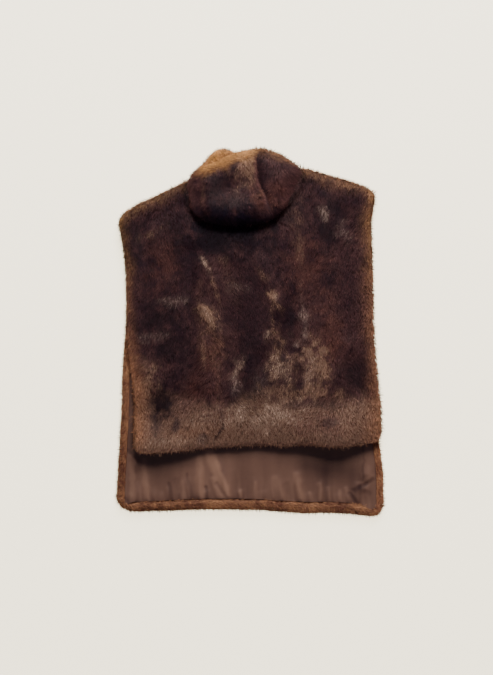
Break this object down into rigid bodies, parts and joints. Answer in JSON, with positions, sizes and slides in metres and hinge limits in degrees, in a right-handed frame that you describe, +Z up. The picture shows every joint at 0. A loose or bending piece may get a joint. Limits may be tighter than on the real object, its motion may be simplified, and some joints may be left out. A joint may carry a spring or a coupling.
{
  "type": "fur poncho",
  "caption": "Sleeveless fur-fabric poncho laid flat, face up: a short front on a longer satin-lined back, with a turned-down roll collar.",
  "frame": {"origin": "on the surface that the garment lies on, under the middle of its front", "axes": "+Z up off the surface, +Y towards the neck, +X towards the wearer's left"},
  "size_m": [0.5182, 0.716, 0.0529],
  "materials": {
    "dark_fur": "dense short pile, dark brown with a paler nap",
    "golden_fur": "dense short pile, golden brown",
    "satin": "smooth taupe brown satin"
  },
  "bodies": {
    "root": {"back_panel": "golden_fur", "back_lining": "satin", "front_panel": "dark_fur", "collar_front": "dark_fur", "collar_back": "golden_fur"}
  },
  "joints": []
}
